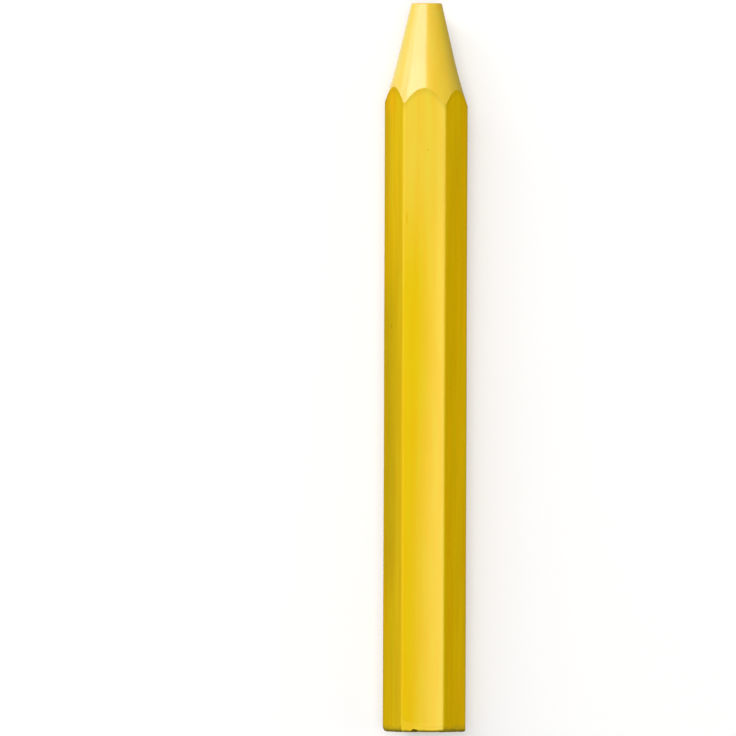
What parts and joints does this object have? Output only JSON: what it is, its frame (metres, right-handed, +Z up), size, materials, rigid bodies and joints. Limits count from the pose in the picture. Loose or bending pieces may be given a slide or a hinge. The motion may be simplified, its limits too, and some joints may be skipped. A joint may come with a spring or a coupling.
{
  "type": "chalk stick",
  "caption": "Hexagonal stick of yellow marking chalk with a blunt, flared point, for drawing lines on timber, metal, stone or rubber.",
  "frame": {"origin": "under the middle of the stick's length and width, on the surface that its lowest flat rests on", "axes": "+Y along the stick, from the butt to the point; +Z up, square to the flat that it rests on; +X across the corners of the hexagon"},
  "size_m": [0.0136, 0.12, 0.012],
  "materials": {
    "wax_chalk": "waxy satin"
  },
  "bodies": {
    "root": {"chalk_stick": "wax_chalk"}
  },
  "joints": []
}
